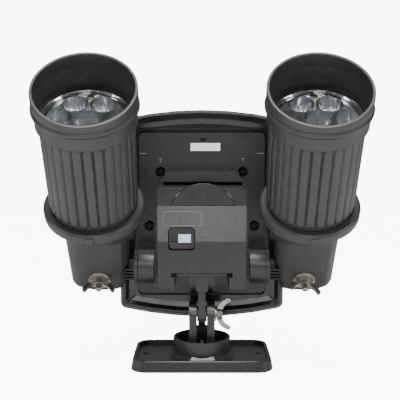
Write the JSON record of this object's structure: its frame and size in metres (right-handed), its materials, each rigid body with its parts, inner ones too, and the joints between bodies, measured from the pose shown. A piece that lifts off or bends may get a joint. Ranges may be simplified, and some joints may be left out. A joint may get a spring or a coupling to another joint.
{
  "type": "twin-head solar floodlight on a swivel bracket",
  "caption": "Solar motion floodlight with two fluted spot lamps on folding arms, a battery box behind a bowed solar plate, and a yoke that pans and tilts on a wall base",
  "frame": {"origin": "centre of the underside of the base plate, where it rests on a wall or table", "axes": "+Z away from the mounting surface, up when it stands on a table; -Y the side of the battery box and lamp nuts; +Y the solar side; X across the two lamps"},
  "size_m": [0.237, 0.1694, 0.241],
  "materials": {
    "housing_plastic": "moulded, fine matt grain",
    "lamp_plastic": "moulded, fine matt grain",
    "tray_plastic": "moulded, satin",
    "bezel_plastic": "moulded, satin",
    "nickel_steel": "nickel plated, slightly worn",
    "black_steel": "black oxide",
    "brass": "bare brass",
    "board_green": "solder mask",
    "led_white": "white solder mask with lamps soldered on",
    "clear_plastic": "clear moulded plastic",
    "rubber": "moulded rubber",
    "reflector_metal": "vacuum metallised plastic",
    "white_label": "blank paper label",
    "sensor_can": "plated can",
    "knob_blue": "pale blue-white moulding",
    "cell_wrap": "printed sleeve",
    "solar_wafer": "dark blue silicon wafers on a backing sheet"
  },
  "bodies": {
    "base": {"base_plate": "housing_plastic", "swivel_screw": "black_steel"},
    "yoke": {"yoke": "housing_plastic", "tilt_bolt": "nickel_steel", "tilt_washer": "nickel_steel"},
    "tilt_nut": {"tilt_wing_nut": "nickel_steel"},
    "head": {"tilt_bracket": "housing_plastic", "bracket_screw_left": "black_steel", "bracket_screw_right": "black_steel", "rear_housing": "housing_plastic", "cover_screw_upper_left": "black_steel", "cover_screw_lower_left": "black_steel", "cover_screw_upper_right": "black_steel", "cover_screw_lower_right": "black_steel", "tab_screw": "black_steel", "info_label": "white_label", "motion_sensor": "sensor_can", "sensor_board": "board_green", "switch_body": "tray_plastic", "battery_holder": "tray_plastic", "cell_bottom": "cell_wrap", "cell_middle": "cell_wrap", "cell_top": "cell_wrap", "contact_strip_left": "nickel_steel", "contact_strip_right": "nickel_steel", "rear_tray": "tray_plastic", "circuit_board": "board_green", "solar_panel": "solar_wafer", "solar_glass": "clear_plastic", "front_bezel": "bezel_plastic"},
    "lid": {"battery_lid": "housing_plastic", "sensor_window": "housing_plastic"},
    "knob": {"switch_knob": "knob_blue"},
    "left_arm": {"left_arm": "housing_plastic", "left_arm_screw": "black_steel"},
    "left_lamp": {"left_lamp_base": "lamp_plastic", "left_lamp_barrel": "lamp_plastic", "left_lamp_hood": "lamp_plastic", "left_lens": "clear_plastic", "left_lens_gasket": "rubber", "left_reflector": "reflector_metal", "left_led_board": "led_white", "left_reflector_screw": "brass", "left_aim_bolt": "nickel_steel", "left_aim_washer": "nickel_steel"},
    "left_nut": {"left_aim_wing_nut": "nickel_steel"},
    "right_arm": {"right_arm": "housing_plastic", "right_arm_screw": "black_steel"},
    "right_lamp": {"right_lamp_base": "lamp_plastic", "right_lamp_barrel": "lamp_plastic", "right_lamp_hood": "lamp_plastic", "right_lens": "clear_plastic", "right_lens_gasket": "rubber", "right_reflector": "reflector_metal", "right_led_board": "led_white", "right_reflector_screw": "brass", "right_aim_bolt": "nickel_steel", "right_aim_washer": "nickel_steel"},
    "right_nut": {"right_aim_wing_nut": "nickel_steel"}
  },
  "joints": [
    {"name": "bracket_pan", "type": "hinge", "parent": "base", "child": "yoke", "pos_m": [0, 0, 0.009], "axis": [0, 0, 1], "range_deg": [-90, 90]},
    {"name": "head_tilt", "type": "hinge", "parent": "yoke", "child": "head", "pos_m": [0, 0, 0.0387], "axis": [1, 0, 0], "range_deg": [-12, 45]},
    {"name": "tilt_nut_turn", "type": "hinge", "parent": "yoke", "child": "tilt_nut", "pos_m": [0.0122, 0, 0.0387], "axis": [1, 0, 0], "continuous": true},
    {"name": "lid_slide", "type": "slide", "parent": "head", "child": "lid", "axis": [0, -1, 0], "range_m": [0, 0.03]},
    {"name": "switch_slide", "type": "slide", "parent": "head", "child": "knob", "axis": [1, 0, 0], "range_m": [-0.0046, 0]},
    {"name": "left_arm_swing", "type": "hinge", "parent": "head", "child": "left_arm", "pos_m": [-0.044, 0, 0.0782], "axis": [1, 0, 0], "range_deg": [-18, 50]},
    {"name": "left_lamp_aim", "type": "hinge", "parent": "left_arm", "child": "left_lamp", "pos_m": [-0.0823, 0.0047, 0.07173], "axis": [0, -0.809, -0.5878], "range_deg": [-5, 30]},
    {"name": "left_nut_turn", "type": "hinge", "parent": "left_lamp", "child": "left_nut", "pos_m": [-0.0823, -0.00258, 0.06644], "axis": [0, -0.809, -0.5878], "continuous": true},
    {"name": "right_arm_swing", "type": "hinge", "parent": "head", "child": "right_arm", "pos_m": [0.044, 0, 0.0782], "axis": [1, 0, 0], "range_deg": [-18, 50]},
    {"name": "right_lamp_aim", "type": "hinge", "parent": "right_arm", "child": "right_lamp", "pos_m": [0.0823, 0.0047, 0.07173], "axis": [0, 0.809, 0.5878], "range_deg": [-5, 30]},
    {"name": "right_nut_turn", "type": "hinge", "parent": "right_lamp", "child": "right_nut", "pos_m": [0.0823, -0.00258, 0.06644], "axis": [0, -0.809, -0.5878], "continuous": true}
  ]
}
